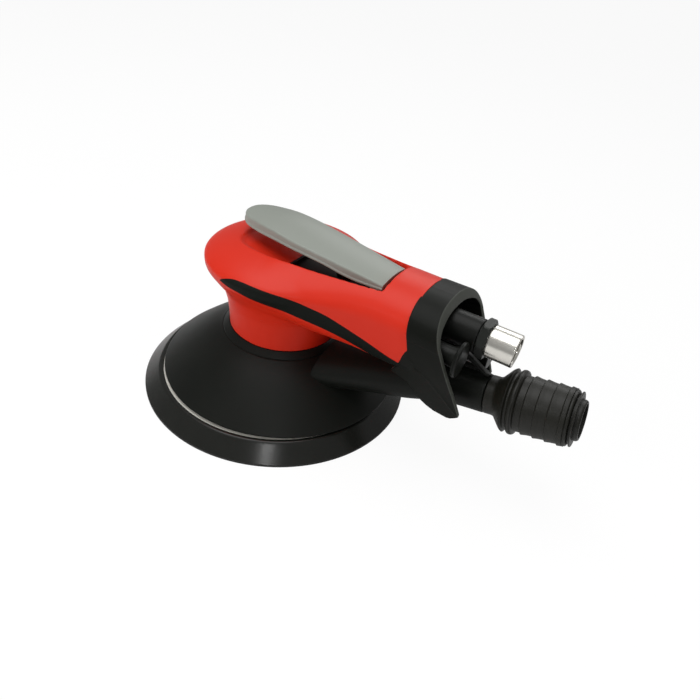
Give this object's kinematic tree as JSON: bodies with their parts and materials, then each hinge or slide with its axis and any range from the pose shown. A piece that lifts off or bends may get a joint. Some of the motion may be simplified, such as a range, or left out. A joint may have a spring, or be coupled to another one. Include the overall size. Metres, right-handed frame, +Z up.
{
  "type": "orbital sander",
  "caption": "Air-driven random-orbital sander: rear handle with paddle lever, speed knob and air inlet, dust shroud with swivelling hose adapter, round backing pad on an offset spindle.",
  "frame": {"origin": "on the motor axis, at the height of the pad's working face", "axes": "+X runs along the handle to the rear, where air and dust hoses join; +Z is up, from the pad to the lever"},
  "size_m": [0.2388, 0.1484, 0.0976],
  "materials": {
    "red_body": "moulded, satin",
    "grip_rubber": "soft, matt",
    "collar_black": "moulded, fine grain",
    "liner_black": "moulded",
    "lever_grey": "painted, satin",
    "steel": "ground",
    "steel_dark": "black oxide",
    "spring_steel": "bright wire",
    "brass": "turned",
    "seal_rubber": "soft",
    "hook": "hook fastener",
    "pad_rubber": "skinned, semi-gloss",
    "pad_plate": "fibre-filled, pale",
    "shroud_black": "moulded, satin",
    "cast_alu": "die-cast",
    "bright_nickel": "turned, bright",
    "black_metal": "black, satin",
    "knob_black": "moulded",
    "felt": "felt",
    "vane": "phenolic laminate",
    "adapter_black": "moulded, satin"
  },
  "bodies": {
    "tool_body": {"housing": "red_body", "grip_strips": "grip_rubber", "end_collar": "collar_black", "well_liner": "liner_black", "lever_pin": "steel", "plunger_bushing": "steel_dark", "valve_seat": "brass", "throttle_spring": "spring_steel", "valve_plug": "brass", "motor_cylinder": "steel", "lower_plate": "cast_alu", "upper_plate": "cast_alu", "lower_motor_bearing": "steel", "upper_motor_bearing": "steel", "motor_oring": "seal_rubber", "dowel_pin": "steel", "lock_ring": "cast_alu", "shroud": "shroud_black", "shroud_ring": "collar_black", "duct_latch": "black_metal", "inlet_bushing": "black_metal", "hex_nut": "black_metal", "inlet_nipple": "bright_nickel", "regulator_clip": "spring_steel", "muffler_shell": "knob_black", "muffler_felt": "felt"},
    "lever": {"lever": "lever_grey"},
    "throttle": {"throttle_plunger": "steel", "valve_tip": "seal_rubber"},
    "motor_shaft": {"shaft_balancer": "steel", "spindle_bearings": "steel", "cup_snap_ring": "steel_dark", "rotor_key": "steel", "rotor": "steel", "vanes": "vane", "shaft_snap_ring": "steel_dark"},
    "pad": {"pad_hook_face": "hook", "pad_foam": "pad_rubber", "pad_plate": "pad_plate", "pad_stud": "steel", "spindle": "steel", "spindle_washer": "steel", "spindle_screw": "steel_dark"},
    "regulator": {"regulator_knob": "knob_black", "regulator_spool": "brass"},
    "adapter": {"hose_adapter": "adapter_black", "duct_seal": "seal_rubber", "adapter_sleeve": "adapter_black"}
  },
  "joints": [
    {"name": "lever_press", "type": "hinge", "parent": "tool_body", "child": "lever", "pos_m": [0.057, 0, 0.0835], "axis": [0, -1, 0], "range_deg": [0, 2.2], "stiffness_Nm_per_rad": 3, "springref_deg": -8.59},
    {"name": "throttle_stroke", "type": "slide", "parent": "tool_body", "child": "throttle", "axis": [0, 0, -1], "range_m": [0, 0.00082], "deforming": ["throttle_spring"]},
    {"name": "motor_spin", "type": "hinge", "parent": "tool_body", "child": "motor_shaft", "pos_m": [0, 0, 0.03], "axis": [0, 0, 1], "continuous": true},
    {"name": "pad_spin", "type": "hinge", "parent": "motor_shaft", "child": "pad", "pos_m": [-0.00094, -0.00232, 0.01], "axis": [0, 0, 1], "continuous": true},
    {"name": "regulator_turn", "type": "hinge", "parent": "tool_body", "child": "regulator", "pos_m": [0.1, -0.016, 0.0721], "axis": [1, 0, 0], "range_deg": [-90, 90]},
    {"name": "adapter_swivel", "type": "hinge", "parent": "tool_body", "child": "adapter", "pos_m": [0.1194, 0, 0.04945], "axis": [0.9833, 0, 0.1819], "continuous": true}
  ],
  "couplings": [
    {"joint": "throttle_stroke", "follows": "lever_press", "m_per_rad": 0.021}
  ]
}
